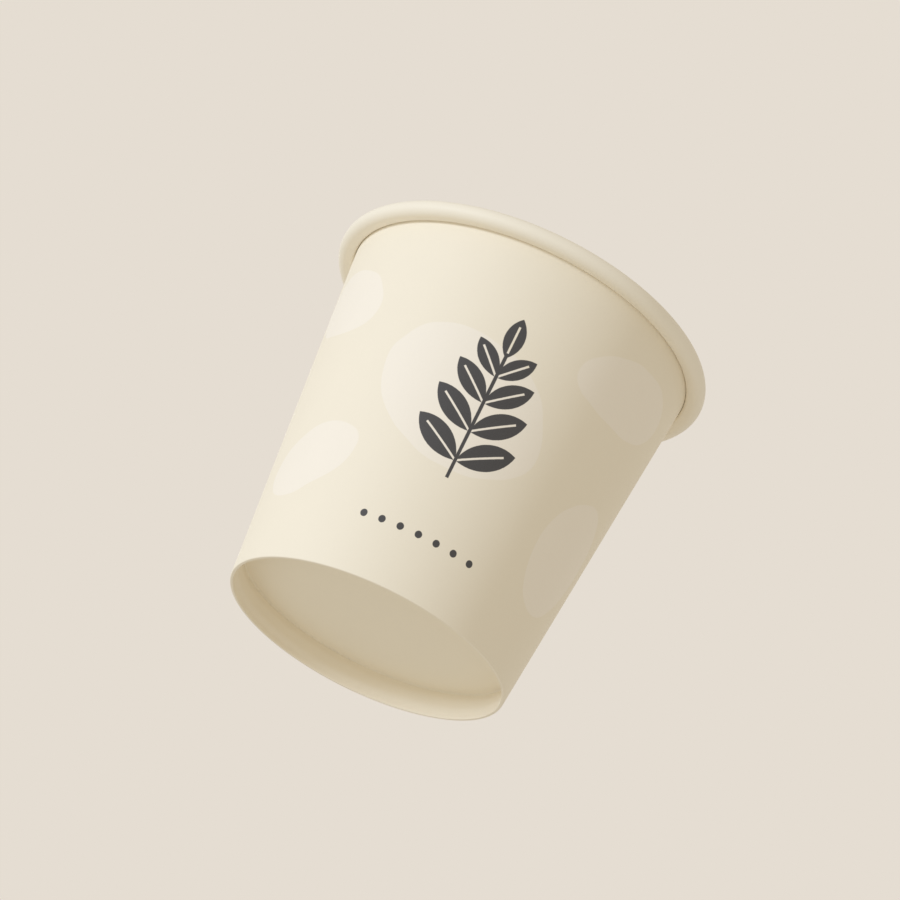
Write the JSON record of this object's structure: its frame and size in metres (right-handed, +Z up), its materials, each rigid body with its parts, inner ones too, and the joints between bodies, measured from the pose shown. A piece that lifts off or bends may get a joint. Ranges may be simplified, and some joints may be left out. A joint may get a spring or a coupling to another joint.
{
  "type": "paper cup",
  "caption": "Small tapered paperboard cup with an outward rolled rim, a glued side lap, a folded foot and a recessed base, for hot or cold drinks.",
  "frame": {"origin": "centre of the foot, on the surface that the cup stands on", "axes": "+Z up along the cup's axis, -Y through the middle of the printed front, +Y through the glued lap"},
  "size_m": [0.0644, 0.0644, 0.0618],
  "materials": {
    "wall_board": "matte",
    "base_board": "matte"
  },
  "bodies": {
    "root": {"sidewall": "wall_board", "base": "base_board"}
  },
  "joints": []
}
